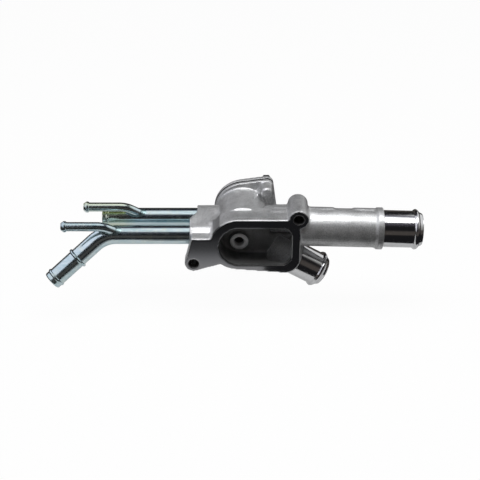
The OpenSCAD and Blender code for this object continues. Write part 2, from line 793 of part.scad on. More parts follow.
housing_body();
rear_cover();
cover_gasket();
cover_bolts();
thermostat_plate();
thermostat_frame();
thermostat_seal();
valve_disc();
wax_capsule();
valve_spring();
piston_pin();
jiggle_pin();
heater_pipe();
heater_branch();
return_pipe();
return_branch();
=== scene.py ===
"""Looks of a cast coolant housing with two brazed steel pipes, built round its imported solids."""

import logging
import math
from collections.abc import Iterator
from contextlib import contextmanager
from dataclasses import dataclass, field
from enum import Enum

import bmesh
import bpy
import numpy as np
from bpy.types import Material, Mesh, Node, NodeSocket, NodeTree, Object
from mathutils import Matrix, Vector


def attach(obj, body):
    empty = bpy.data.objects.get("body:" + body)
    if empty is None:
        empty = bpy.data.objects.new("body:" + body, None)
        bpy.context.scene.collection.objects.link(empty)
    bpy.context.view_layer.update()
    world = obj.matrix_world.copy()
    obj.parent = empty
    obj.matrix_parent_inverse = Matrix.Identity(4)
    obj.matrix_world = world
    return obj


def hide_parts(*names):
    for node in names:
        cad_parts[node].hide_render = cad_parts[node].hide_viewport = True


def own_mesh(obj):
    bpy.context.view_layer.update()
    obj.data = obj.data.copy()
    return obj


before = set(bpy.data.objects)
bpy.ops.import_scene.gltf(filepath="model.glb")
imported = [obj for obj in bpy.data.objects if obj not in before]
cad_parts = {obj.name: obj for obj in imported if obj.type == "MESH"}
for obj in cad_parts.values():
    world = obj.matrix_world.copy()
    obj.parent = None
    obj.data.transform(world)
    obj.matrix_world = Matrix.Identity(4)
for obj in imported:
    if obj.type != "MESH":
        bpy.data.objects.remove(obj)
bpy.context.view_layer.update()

logging.basicConfig(level=logging.INFO, format="%(message)s")
LOG = logging.getLogger("housing")

MM = 0.001
RING_STEP = 1.6 * MM
FINE_STEP = 0.22 * MM
LAP = 2 * MM
ROUND_SIDES = 128
PLATED = ("heater_tube", "return_tube", "heater_branch_tube", "return_branch_tube")
AHEAD = np.array([1.0, 0.0, 0.0])
HOUSING = "housing"
Array = np.ndarray
Pair = tuple[float, float]


class Slot(Enum):
    """Material slots of the record."""

    CASTING = "cast_aluminium"
    PLATING = "plated_steel"
    WIRE = "spring_steel"


# Meshes from arrays


def grid_quads(rows: int, cols: int, wrap_rows: bool) -> Array:
    """Quads of a grid whose columns close on themselves.

    Args:
        rows: number of rings.
        cols: points in a ring.
        wrap_rows: whether the last ring joins the first.

    Returns:
        Corner indices, one row of four for each quad.
    """
    top = rows if wrap_rows else rows - 1
    i, j = np.meshgrid(np.arange(top), np.arange(cols), indexing="ij")
    i2, j2 = (i + 1) % rows, (j + 1) % cols
    return np.stack([i * cols + j, i * cols + j2, i2 * cols + j2, i2 * cols + j], -1).reshape(-1, 4)


def mesh_object(name: str, points: Array, quads: Array) -> Object:
    """Puts points and quads into a smooth-shaded mesh object at the origin.

    Args:
        name: name of the piece.
        points: corner points in metres.
        quads: corner indices of each face.

    Returns:
        The new object, linked to the scene.
    """
    mesh = bpy.data.meshes.new(name)
    mesh.from_pydata(points.astype(np.float32).tolist(), [], quads.tolist())
    mesh.validate()
    with edited(mesh) as work:
        bmesh.ops.recalc_face_normals(work, faces=work.faces)
    return link_object(name, mesh)


@contextmanager
def edited(mesh: Mesh) -> Iterator[bmesh.types.BMesh]:
    """Opens a mesh for editing, writes it back and shades it smooth.

    Args:
        mesh: the mesh.

    Yields:
        Its editable form.
    """
    work = bmesh.new()
    work.from_mesh(mesh)
    work.verts.ensure_lookup_table()
    yield work
    work.to_mesh(mesh)
    work.free()
    mesh.shade_smooth()


def link_object(name: str, mesh: Mesh) -> Object:
    """Makes an object of a mesh and links it to the scene.

    Args:
        name: name of the object.
        mesh: its mesh.

    Returns:
        The object.
    """
    piece = bpy.data.objects.new(name, mesh)
    bpy.context.scene.collection.objects.link(piece)
    return piece


def place(piece: Object, material: Material, slot: Slot, *nodes: str) -> None:
    """Dresses a piece, lets it ride on the housing and hides the solids that it replaces.

    Args:
        piece: the new piece.
        material: its finish.
        slot: the record's material slot; not used.
        nodes: solids that the piece replaces.
    """
    piece.data.materials.clear()
    piece.data.materials.append(material)
    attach(piece, HOUSING)
    if nodes:
        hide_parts(*nodes)
    LOG.info("%s: %d faces", piece.name, len(piece.data.polygons))


def spot(*place_mm: float) -> Array:
    """Dataclass field for a point that is given in millimetres."""
    return field(default_factory=lambda: np.array(place_mm) * MM)


# Swept and turned surfaces


@dataclass
class Path:
    """A plane centre line: points, in-plane normals, the plane's normal and the distance run along it."""

    points: Array
    normals: Array
    binormal: Array
    run: Array


def bent_path(start: Array, heading: Array, turn: Array, straight: float, radius: float, angle: float,
              leg: float, fine: list[Pair]) -> Path:
    """Straight run, circular bend and straight leg, worked out as one function of the distance run.

    The heading turns by t = clip((s - straight) / radius, 0, angle). The point is the start plus the
    straight run, plus radius times (sin t, 1 - cos t) in the bend's plane, plus the leg run so far.

    Args:
        start: first point.
        heading: unit direction of the straight run.
        turn: unit direction that the bend leans towards.
        straight: length of the straight run.
        radius: bend radius.
        angle: bend angle in radians.
        leg: length of the leg.
        fine: stretches of the run that get closer rings.

    Returns:
        The path.
    """
    total = straight + radius * angle + leg
    stations = [np.linspace(0, total, max(int(total / RING_STEP), 2))]
    stations += [np.arange(max(a, 0), min(b, total), FINE_STEP) for a, b in fine]
    run = np.unique(np.round(np.concatenate(stations), 7))
    t = np.clip((run - straight) / radius, 0, angle)[:, None]
    along = np.minimum(run, straight)[:, None]
    beyond = np.maximum(run - straight - radius * angle, 0)[:, None]
    tangents = np.cos(t) * heading + np.sin(t) * turn
    normals = -np.sin(t) * heading + np.cos(t) * turn
    points = start + along * heading + radius * (np.sin(t) * heading + (1 - np.cos(t)) * turn)
    points = points + beyond * tangents
    return Path(points, normals, np.cross(heading, turn), run)


def tube_on_path(name: str, path: Path, outer: Array, inner: Array, sides: int) -> Object:
    """Closed tube: circles of the outer radius along the path, then of the inner radius back again.

    Args:
        name: name of the piece.
        path: centre line.
        outer: outer radius at each station.
        inner: inner radius at each station.
        sides: points round the tube.

    Returns:
        The tube.
    """
    a = np.linspace(0, 2 * math.pi, sides, endpoint=False)
    order = np.concatenate([np.arange(len(outer)), np.arange(len(outer))[::-1]])
    radius = np.concatenate([outer, inner[::-1]])[:, None, None]
    spoke = np.cos(a)[None, :, None] * path.normals[order][:, None, :]
    spoke = spoke + np.sin(a)[None, :, None] * path.binormal[None, None, :]
    points = path.points[order][:, None, :] + radius * spoke
    return mesh_object(name, points.reshape(-1, 3), grid_quads(len(order), sides, True))


def bead(run: Array, centre: float, height: float, spread: float = 1.55) -> Array:
    """Rolled bead: a half-round bump, height * sqrt(1 - x^2), that eases into the wall at its feet.

    Args:
        run: distance along the tube.
        centre: where the bead stands.
        height: how far it rises.
        spread: half width as a share of the height.

    Returns:
        What the bead adds to the radius.
    """
    half = spread * height
    x = np.clip(np.abs(run - centre) / half, 0, 1)
    crown = height * np.sqrt(1 - x ** 2)
    return crown * (1 - 0.25 * x ** 4)


def tip_round(run: Array, total: float, radius: float) -> Array:
    """Inward draw at a tube's mouth: a quarter circle of the given radius, zero further in."""
    x = np.clip((run - (total - radius)) / radius, 0, 1)
    return radius * (1 - np.sqrt(1 - x ** 2))


def straight_path(start: Array, heading: Array, length: float, fine: list[Pair]) -> Path:
    """A straight centre line with closer rings on some stretches.

    Args:
        start: first point.
        heading: unit direction.
        length: length of the line.
        fine: stretches that get closer rings.

    Returns:
        The path.
    """
    side = np.cross(heading, np.array([0.0, 1.0, 0.0]))
    side = side / np.linalg.norm(side)
    return bent_path(start, heading, side, length, 1.0, 0.0, 0.0, fine)


# Node graphs


class Graph:
    """Short hand for building a node tree."""

    def __init__(self, tree: NodeTree) -> None:
        """Starts from an empty tree."""
        self.tree = tree
        tree.nodes.clear()

    def node(self, kind: str, inputs: dict | None = None, **settings: object) -> Node:
        """Adds a node.

        Args:
            kind: node type name.
            inputs: socket name or index to a value or to an output socket.
            settings: attributes of the node.

        Returns:
            The node.
        """
        made = self.tree.nodes.new(kind)
        for key, value in settings.items():
            setattr(made, key, value)
        for key, value in (inputs or {}).items():
            self.feed(made.inputs[key], value)
        return made

    def feed(self, socket: NodeSocket, value: object) -> None:
        """Links an output to a socket, or sets the socket's value; a colour of three gets full opacity.

        Args:
            socket: input of a node.
            value: an output socket, a number, a vector or a colour.
        """
        if isinstance(value, NodeSocket):
            self.tree.links.new(value, socket)
        elif socket.type == "RGBA" and len(value) == 3:
            socket.default_value = (*value, 1.0)
        else:
            socket.default_value = value

    def math(self, operation: str, *values: object) -> NodeSocket:
        """Adds a math node on sockets or numbers and returns its output."""
        return self.node("ShaderNodeMath", dict(enumerate(values)), operation=operation).outputs[0]

    def ramp(self, fac: NodeSocket, stops: list[tuple[float, tuple]]) -> NodeSocket:
        """Adds a colour ramp over a value.

        Args:
            fac: the value.
            stops: values and the colours there.

        Returns:
            The colour.
        """
        made = self.node("ShaderNodeValToRGB", {0: fac})
        elements = made.color_ramp.elements
        while len(elements) < len(stops):
            elements.new(0.5)
        for element, (at, colour) in zip(elements, stops):
            element.position = at
            element.color = (*colour, 1.0)
        return made.outputs[0]

    def mix(self, fac: object, a: object, b: object) -> NodeSocket:
        """Mixes two colours by a factor and returns the result."""
        return self.node("ShaderNodeMix", {0: fac, 6: a, 7: b}, data_type="RGBA").outputs[2]

    def spread(self, tone: NodeSocket, low: float, high: float) -> NodeSocket:
        """Stretches the usual range of a grain's tone to the range from low to high."""
        return self.node("ShaderNodeMapRange", {0: tone, 1: 0.3, 2: 0.7, 3: low, 4: high}).outputs[0]


def node_material(name: str) -> tuple[Material, Graph]:
    """Makes a material of the given name with an empty graph.

    Args:
        name: its name.

    Returns:
        The material and its graph.
    """
    material = bpy.data.materials.new(name)
    material.use_nodes = True
    return material, Graph(material.node_tree)


def grain_group() -> NodeTree:
    """Fine cast or brushed grain: a tone and a height, both weighted sums of a fine and a broad noise.

    Returns:
        A shader group with inputs Vector, Size and Coarse, and outputs Tone and Height.
    """
    tree = bpy.data.node_groups.new("surface_grain", "ShaderNodeTree")
    face = tree.interface
    face.new_socket("Vector", in_out="INPUT", socket_type="NodeSocketVector")
    face.new_socket("Size", in_out="INPUT", socket_type="NodeSocketFloat")
    face.new_socket("Coarse", in_out="INPUT", socket_type="NodeSocketFloat")
    face.new_socket("Tone", in_out="OUTPUT", socket_type="NodeSocketFloat")
    face.new_socket("Height", in_out="OUTPUT", socket_type="NodeSocketFloat")
    g = Graph(tree)
    source = g.node("NodeGroupInput").outputs
    fine = g.node("ShaderNodeTexNoise",
                  {"Vector": source[0], "Scale": source[1], "Detail": 4.0, "Roughness": 0.65})
    broad = g.node("ShaderNodeTexNoise",
                   {"Vector": source[0], "Scale": source[2], "Detail": 5.0, "Roughness": 0.6})
    tone = g.math("MULTIPLY_ADD", fine.outputs[0], 0.6, g.math("MULTIPLY", broad.outputs[0], 0.4))
    height = g.math("MULTIPLY_ADD", broad.outputs[0], 0.4, fine.outputs[0])
    g.node("NodeGroupOutput", {0: tone, 1: height})
    return tree


def zone_group() -> NodeTree:
    """Mask that is one where a coordinate lies below an edge and falls to zero over a soft width.

    Returns:
        A shader group with inputs Value, Edge and Soft, and output Mask.
    """
    tree = bpy.data.node_groups.new("zone_mask", "ShaderNodeTree")
    for name in ("Value", "Edge", "Soft"):
        tree.interface.new_socket(name, in_out="INPUT", socket_type="NodeSocketFloat")
    tree.interface.new_socket("Mask", in_out="OUTPUT", socket_type="NodeSocketFloat")
    g = Graph(tree)
    source = g.node("NodeGroupInput").outputs
    share = g.math("DIVIDE", g.math("SUBTRACT", source[1], source[0]), source[2])
    clipped = g.node("ShaderNodeClamp", {0: share})
    g.node("NodeGroupOutput", {0: clipped.outputs[0]})
    return tree


GRAIN = grain_group()
ZONE = zone_group()


class Finish:
    """A procedural material on Object coordinates with one Principled shader."""

    def __init__(self, name: str) -> None:
        """Makes the material with its coordinate, shader and output nodes.

        Args:
            name: name of the material.
        """
        self.material, self.graph = node_material(name)
        self.where = self.graph.node("ShaderNodeTexCoord").outputs["Object"]
        self.shader = self.graph.node("ShaderNodeBsdfPrincipled")
        self.graph.node("ShaderNodeOutputMaterial", {0: self.shader.outputs[0]})

    def stretched(self, scale: tuple[float, float, float]) -> NodeSocket:
        """Coordinates stretched along the axes."""
        return self.graph.node("ShaderNodeMapping", {"Vector": self.where, "Scale": scale}).outputs[0]

    def grain(self, vector: NodeSocket, size: float, coarse: float) -> Node:
        """Places the shared grain group with its own values."""
        return self.graph.node("ShaderNodeGroup", {0: vector, 1: size, 2: coarse}, node_tree=GRAIN)

    def zone(self, value: NodeSocket, edge: float, soft: float) -> NodeSocket:
        """Places the shared zone mask with its own edge."""
        return self.graph.node("ShaderNodeGroup", {0: value, 1: edge, 2: soft}, node_tree=ZONE).outputs[0]

    def set(self, **values: object) -> None:
        """Sets or links sockets of the shader; underscores stand for spaces."""
        for key, value in values.items():
            self.graph.feed(self.shader.inputs[key.replace("_", " ")], value)

    def bump(self, height: NodeSocket, depth: float, strength: object) -> NodeSocket:
        """Bump normal from a height, with its depth in metres."""
        sockets = {"Height": height, "Distance": depth, "Strength": strength}
        return self.graph.node("ShaderNodeBump", sockets).outputs[0]


@dataclass(frozen=True)
class CastFinish:
    """Sand-cast aluminium, polished where the flange face was milled."""

    dark: tuple = (0.36, 0.365, 0.37)
    light: tuple = (0.74, 0.745, 0.75)
    metal: float = 0.62
    milled: tuple = (0.62, 0.63, 0.65)
    milled_depth: float = 0.06 * MM
    milled_edge: float = 0.04 * MM
    milled_end: float = 66 * MM
    # Dark colour painted into the chamber's inside and the two bolt holes as painted shade.
    painted_shade: tuple = (0.02, 0.02, 0.02)
    rough_low: float = 0.32
    rough_high: float = 0.46
    milled_rough: float = 0.13
    # Lighter colour painted on the port ring inside the chamber as painted light, with less metal and no
    # painted shade.
    bright: tuple = (0.86, 0.86, 0.86)
    port: tuple = (-6.3 * MM, 18.6 * MM, -12 * MM)
    port_reach: float = 9.5 * MM
    bolt_hole: tuple = (50.6 * MM, 0.0, 24.5 * MM)
    bolt_hole_reach: float = 5.6 * MM
    # Box and rims of the chamber that take the painted shade, and its strength there.
    hollow_low: tuple = (-31.5 * MM, 0.08 * MM, -28 * MM)
    hollow_high: tuple = (45 * MM, 27 * MM, 18 * MM)
    hollow_shade: float = 0.58
    rim_depth: float = 1.7 * MM
    rim_shade: float = 0.34
    soft: float = 1 * MM
    spot_soft: float = 0.3 * MM
    rim_soft: float = 0.6 * MM
    swirl: tuple = (1.0, 1.0, 0.08)
    swirl_size: Pair = (900.0, 30.0)
    swirl_rough: float = 0.10
    grain_size: float = 950.0
    blotch_size: float = 55.0
    grain_depth: float = 0.26 * MM

    def near(self, f: Finish, spot: tuple, reach: float, flat: bool) -> NodeSocket:
        """Mask round a spot.

        Args:
            f: the finish that is being built.
            spot: centre in metres.
            reach: radius of the mask.
            flat: whether the distance leaves out Y, as for a hole along Y.

        Returns:
            The mask.
        """
        seen = f.stretched((1.0, 0.0 if flat else 1.0, 1.0))
        apart = f.graph.node("ShaderNodeVectorMath", {0: seen, 1: spot}, operation="DISTANCE")
        return f.zone(apart.outputs["Value"], reach, self.spot_soft)

    def hollow(self, f: Finish) -> NodeSocket:
        """Painted shade in the chamber's inside and in the two bolt holes, laid into their colour.

        Args:
            f: the finish that is being built.

        Returns:
            The share of painted shade, higher on the rims behind the milled face to dim their light edge.
        """
        g = f.graph
        where = g.node("ShaderNodeSeparateXYZ", {0: f.where}).outputs
        deep = g.math("SUBTRACT", 1.0, f.zone(where[1], self.hollow_low[1], self.milled_edge))
        inside = g.math("MULTIPLY", deep, f.zone(where[1], self.hollow_high[1], self.soft))
        for axis in (0, 2):
            below = f.zone(where[axis], self.hollow_high[axis], self.soft)
            above = g.math("SUBTRACT", 1.0, f.zone(where[axis], self.hollow_low[axis], self.soft))
            inside = g.math("MULTIPLY", inside, g.math("MULTIPLY", below, above))
        other = tuple(-value for value in self.bolt_hole)
        holes = g.math("MAXIMUM", self.near(f, self.bolt_hole, self.bolt_hole_reach, True),
                       self.near(f, other, self.bolt_hole_reach, True))
        rim = f.zone(where[1], self.rim_depth, self.rim_soft)
        depth = g.math("MULTIPLY_ADD", rim, self.rim_shade, self.hollow_shade)
        return g.math("MAXIMUM", g.math("MULTIPLY", inside, depth),
                      g.math("MULTIPLY", g.math("MULTIPLY", holes, deep), self.hollow_shade + self.rim_shade))

    def make(self, name: str) -> Material:
        """Builds the material.

        Args:
            name: its name.

        Returns:
            The material.
        """
        f = Finish(name)
        g = f.graph
        grain = f.grain(f.where, self.grain_size, self.blotch_size)
        where = g.node("ShaderNodeSeparateXYZ", {0: f.where}).outputs
        milled = g.math("MULTIPLY", f.zone(where[1], self.milled_depth, self.milled_edge),
                        f.zone(where[0], self.milled_end, self.soft))
        cast = g.ramp(grain.outputs["Tone"], [(0.36, self.dark), (0.64, self.light)])
        rough = g.spread(grain.outputs["Tone"], self.rough_low, self.rough_high)
        swirl = f.grain(f.stretched(self.swirl), *self.swirl_size)
        face_rough = g.math("MULTIPLY_ADD", swirl.outputs["Tone"], self.swirl_rough,
                            self.milled_rough - 0.5 * self.swirl_rough)
        roughness = g.node("ShaderNodeMix", {0: milled, 2: rough, 3: face_rough}).outputs[0]
        # Painted light on the port ring: a lighter colour and half the metal, in place of the painted shade.
        port_light = self.near(f, self.port, self.port_reach, False)
        # Painted shade laid over the colour inside the chamber and the bolt holes.
        shade = g.math("MULTIPLY", self.hollow(f), g.math("SUBTRACT", 1.0, port_light))
        metal = g.math("SUBTRACT", g.math("MULTIPLY_ADD", milled, 1.0 - self.metal, self.metal),
                       g.math("MULTIPLY", port_light, 0.5 * self.metal))
        bright = g.mix(port_light, g.mix(milled, cast, self.milled), self.bright)
        f.set(Base_Color=g.mix(shade, bright, self.painted_shade), Metallic=metal, Roughness=roughness,
              Normal=f.bump(grain.outputs["Height"], self.grain_depth, g.math("SUBTRACT", 1.0, milled)))
        return f.material


@dataclass(frozen=True)
class TurnedFinish:
    """Bright turned aluminium with faint lines round the axis."""

    tint: tuple = (0.72, 0.73, 0.75)
    shade: tuple = (0.62, 0.62, 0.62)
    rough: float = 0.10
    line_size: Pair = (300.0, 45.0)
    line_rough: float = 0.08
    line_depth: float = 0.012 * MM

    def make(self, name: str, along: tuple[float, float, float]) -> Material:
        """Builds the material.

        Args:
            name: its name.
            along: how far the turning lines are squeezed along each axis.

        Returns:
            The material.
        """
        f = Finish(name)
        lines = f.grain(f.stretched(along), *self.line_size)
        colour = f.graph.ramp(lines.outputs["Tone"], [(0.35, self.shade), (0.65, self.tint)])
        rough = f.graph.math("MULTIPLY_ADD", lines.outputs["Tone"], self.line_rough, self.rough)
        f.set(Base_Color=colour, Metallic=1.0, Roughness=rough,
              Normal=f.bump(lines.outputs["Height"], self.line_depth, 0.5))
        return f.material


@dataclass(frozen=True)
class PlatedFinish:
    """Bluish zinc plating on steel tube, with drawn streaks and a yellow-green flush."""

    blue: tuple = (0.57, 0.70, 0.75)
    pale: tuple = (0.78, 0.87, 0.91)
    teal: tuple = (0.37, 0.55, 0.58)
    flush: tuple = (0.78, 0.83, 0.72)
    green: tuple = (0.78, 0.82, 0.50)
    green_x: float = -108 * MM
    green_y: float = 40 * MM
    green_share: float = 0.75
    drawn: tuple = (0.12, 1.0, 1.0)
    streak_size: Pair = (420.0, 60.0)
    streak_depth: float = 0.02 * MM
    patch_size: Pair = (160.0, 24.0)
    flush_share: float = 0.45
    rough_low: float = 0.14
    rough_high: float = 0.27

    def make(self, name: str) -> Material:
        """Builds the material.

        Args:
            name: its name.

        Returns:
            The material.
        """
        f = Finish(name)
        g = f.graph
        streak = f.grain(f.stretched(self.drawn), *self.streak_size)
        patch = f.grain(f.where, *self.patch_size)
        colour = g.ramp(streak.outputs["Tone"], [(0.30, self.teal), (0.48, self.blue), (0.70, self.pale)])
        bloom = g.node("ShaderNodeMapRange", {0: patch.outputs["Tone"], 1: 0.50, 2: 0.66, 3: 0.0,
                                              4: self.flush_share}).outputs[0]
        rough = g.spread(patch.outputs["Tone"], self.rough_low, self.rough_high)
        spot = g.node("ShaderNodeSeparateXYZ", {0: f.where}).outputs
        rear = g.math("SUBTRACT", 1.0, f.zone(spot[1], self.green_y, 6 * MM))
        end = g.math("MULTIPLY", rear, f.zone(spot[0], self.green_x, 14 * MM))
        flushed = g.mix(bloom, colour, self.flush)
        tinted = g.mix(g.math("MULTIPLY", end, self.green_share), flushed, self.green)
        f.set(Base_Color=tinted, Metallic=1.0, Roughness=rough,
              Normal=f.bump(streak.outputs["Height"], self.streak_depth, 0.5))
        return f.material


@dataclass(frozen=True)
class PlainFinish:
    """A finish of two tones with grain: rubber, dark bolts, brass sheet, wire or braze."""

    dark: tuple
    light: tuple
    metal: float
    rough: Pair
    size: float = 900.0
    depth: float = 0.05 * MM

    def make(self, name: str) -> Material:
        """Builds the material.

        Args:
            name: its name.

        Returns:
            The material.
        """
        f = Finish(name)
        grain = f.grain(f.where, self.size, self.size / 14)
        rough = f.graph.spread(grain.outputs["Tone"], *self.rough)
        f.set(Base_Color=f.graph.ramp(grain.outputs["Tone"], [(0.3, self.dark), (0.7, self.light)]),
              Metallic=self.metal, Roughness=rough, Normal=f.bump(grain.outputs["Height"], self.depth, 0.6))
        return f.material


RUBBER = PlainFinish((0.008, 0.008, 0.009), (0.03, 0.03, 0.032), 0.0, (0.5, 0.7))
PHOSPHATE = PlainFinish((0.05, 0.05, 0.055), (0.12, 0.12, 0.125), 1.0, (0.35, 0.5))
SHEET_BRASS = PlainFinish((0.52, 0.38, 0.16), (0.72, 0.56, 0.28), 1.0, (0.25, 0.4))
BRIGHT_WIRE = PlainFinish((0.45, 0.45, 0.45), (0.66, 0.66, 0.65), 1.0, (0.2, 0.35))
BRAZE = PlainFinish((0.12, 0.18, 0.19), (0.30, 0.39, 0.40), 1.0, (0.30, 0.48), 700.0, 0.12 * MM)


# Casting


def melted_copy(node: str, name: str, voxel: float, passes: int) -> Object:
    """Copy of a solid whose edges and corners are melted into cast fillets.

    The copy is merged, rebuilt on a fine even grid and relaxed: each pass moves a point half way to the
    mean of its neighbours, which rounds edges by about a millimetre and leaves flat faces flat.

    Args:
        node: the solid.
        name: name of the new piece.
        voxel: grid size in metres.
        passes: relaxing passes.

    Returns:
        The new piece.
    """
    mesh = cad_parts[node].data.copy()
    with edited(mesh) as work:
        bmesh.ops.remove_doubles(work, verts=work.verts, dist=1e-6)
    rough = link_object(name + "_rough", mesh)
    grid = rough.modifiers.new("grid", "REMESH")
    grid.mode = "VOXEL"
    grid.voxel_size = voxel
    relax = rough.modifiers.new("relax", "SMOOTH")
    relax.factor = 0.5
    relax.iterations = passes
    shaped = bpy.data.meshes.new_from_object(rough.evaluated_get(bpy.context.evaluated_depsgraph_get()))
    bpy.data.objects.remove(rough)
    bpy.data.meshes.remove(mesh)
    shaped.name = name
    shaped.shade_smooth()
    return link_object(name, shaped)


def soften(piece: Object, low: Array, high: Array, passes: int) -> None:
    """Rounds the edges inside a box further: each pass moves a point half way to its neighbours' mean.

    Args:
        piece: the piece.
        low: lowest corner of the box.
        high: highest corner of the box.
        passes: relaxing passes.
    """
    with edited(piece.data) as work:
        spots = np.array([v.co for v in work.verts])
        chosen = [work.verts[i] for i in np.flatnonzero(np.all((spots > low) & (spots < high), axis=1))]
        for _ in range(passes):
            bmesh.ops.smooth_vert(work, verts=chosen, factor=0.5,
                                  use_axis_x=True, use_axis_y=True, use_axis_z=True)


def cut_open(piece: Object, point: Array, normal: Array, reach: float) -> None:
    """Cuts a hollow arm off a piece at a plane and closes the cut wall.

    Args:
        piece: the piece.
        point: where the arm's axis meets the plane.
        normal: direction of the arm, which is dropped from there on.
        reach: how far from the axis the cut goes.
    """
    behind = 4 * MM
    with edited(piece.data) as work:
        spots = np.array([v.co for v in work.verts]) - point
        along = spots @ normal
        wide = np.linalg.norm(spots - along[:, None] * normal, axis=1)
        verts = {work.verts[i] for i in np.flatnonzero((along > -behind) & (wide < reach))}
        edges = {e for v in verts for e in v.link_edges}
        faces = {f for v in verts for f in v.link_faces}
        cut = bmesh.ops.bisect_plane(work, geom=[*verts, *edges, *faces], plane_co=Vector(point),
                                     plane_no=Vector(normal), clear_outer=True)
        rim = [e for e in cut["geom_cut"] if isinstance(e, bmesh.types.BMEdge) and e.is_boundary]
        bmesh.ops.bridge_loops(work, edges=rim)


@dataclass
class Spigot:
    """A turned hose spigot on a straight axis."""

    root: Array
    heading: Array
    length: float
    radius: float
    bore: float
    bead_height: float = 1.7 * MM
    nose: float = 6 * MM
    taper: float = 0.4
    mouth: float = 0.8 * MM
    sides: int = ROUND_SIDES

    def outer(self, run: Array) -> Array:
        """Outer radius: the bar, the end bead, a tapered nose and a rounded mouth.

        Args:
            run: distance along the spigot.

        Returns:
            The radius there.
        """
        past = np.maximum(run - (self.length - self.nose), 0)
        radius = self.radius - self.taper * past + bead(run, self.length - self.nose, self.bead_height)
        return radius - tip_round(run, self.length, self.mouth)

    def build(self, name: str) -> Object:
        """Builds the closed spigot wall.

        Args:
            name: name of the piece.

        Returns:
            The spigot.
        """
        fine = [(self.length - self.nose - 4 * MM, self.length)]
        path = straight_path(self.root, self.heading, self.length, fine)
        inner = np.full_like(path.run, self.bore) + 0.6 * tip_round(path.run, self.length, self.mouth)
        return tube_on_path(name, path, self.outer(path.run), inner, self.sides)


def tilted(slope: float) -> Array:
    """Unit vector along +X that dips by a slope in degrees."""
    return np.array([math.cos(math.radians(slope)), 0.0, -math.sin(math.radians(slope))])


@dataclass
class Casting:
    """Main casting: melted body, turned neck spigot and turned stub."""

    neck_root: Array = spot(24.0, 20.0, 6.5)
    neck_droop: float = 1.6
    neck_length: float = 147 * MM
    neck_spigot: float = 38.6 * MM
    neck_radius: float = 18 * MM
    neck_bore: float = 14.95 * MM
    neck_reach: float = 24 * MM
    stub_root: Array = spot(9.3, 20.0, -7.0)
    stub_slope: float = 30.5
    stub_length: float = 77.6 * MM
    stub_face: float = 47 * MM
    stub_radius: float = 16.5 * MM
    stub_bore: float = 13.45 * MM
    stub_reach: float = 18.2 * MM
    past_neck: float = 0.6 * MM
    collar_length: float = 7.6 * MM
    collar_radius: float = 20.5 * MM
    collar_rise: float = 2.2 * MM
    collar_edge: float = 0.7 * MM
    collar_back: float = 0.2 * MM
    fillet_low: Array = spot(-40.0, 21.0, 2.0)
    fillet_high: Array = spot(28.0, 34.0, 30.0)
    fillet_passes: int = 40
    voxel: float = 0.95 * MM
    passes: int = 5

    def collar(self, end: Array, heading: Array) -> Object:
        """Shoulder ring at the end of the cast neck: a smooth step up from the neck and a crisp far edge.

        Args:
            end: point on the neck's axis where the ring ends.
            heading: direction of the neck.

        Returns:
            The ring.
        """
        path = straight_path(end - heading * self.collar_length, heading, self.collar_length,
                             [(0.0, self.collar_length)])
        t = np.clip(path.run / self.collar_rise, 0, 1)
        eased = tip_round(path.run, self.collar_length, self.collar_edge)
        drop = self.collar_rise * (1 - t * t * (3 - 2 * t)) + eased
        inner = np.full_like(path.run, self.collar_radius - 1.5 * self.collar_rise)
        return tube_on_path("neck_collar", path, self.collar_radius - drop, inner, ROUND_SIDES)

    def build(self) -> list[Object]:
        """Builds the body, its neck ring and the two spigots.

        Returns:
            The pieces in that order.
        """
        neck = tilted(self.neck_droop)
        stub = tilted(self.stub_slope)
        body = melted_copy("housing_body", "cast_body", self.voxel, self.passes)
        soften(body, self.fillet_low, self.fillet_high, self.fillet_passes)
        neck_cut = self.neck_root + neck * (self.neck_length - self.neck_spigot + self.past_neck)
        stub_cut = self.stub_root + stub * self.stub_face
        cut_open(body, neck_cut, neck, self.neck_reach)
        cut_open(body, stub_cut, stub, self.stub_reach)
        spigot = Spigot(neck_cut - neck * LAP, neck, self.neck_spigot - self.past_neck + LAP,
                        self.neck_radius, self.neck_bore)
        socket = Spigot(stub_cut - stub * LAP, stub, self.stub_length - self.stub_face + LAP,
                        self.stub_radius, self.stub_bore)
        collar = self.collar(neck_cut - neck * self.collar_back, neck)
        return [body, collar, spigot.build("radiator_spigot"), socket.build("hose_stub_spigot")]

    def dress(self, pieces: list[Object]) -> None:
        """Gives the body and its ring their cast finish and the spigots their turned finish.

        Args:
            pieces: the pieces from build.
        """
        cast = CastFinish().make("sand_cast_aluminium")
        turned = TurnedFinish()
        finishes = [cast, cast, turned.make("turned_neck", (8.0, 0.3, 0.3)),
                    turned.make("turned_stub", (6.0, 0.3, 4.0))]
        for piece, finish in zip(pieces, finishes):
            place(piece, finish, Slot.CASTING, "housing_body")


# Pipes


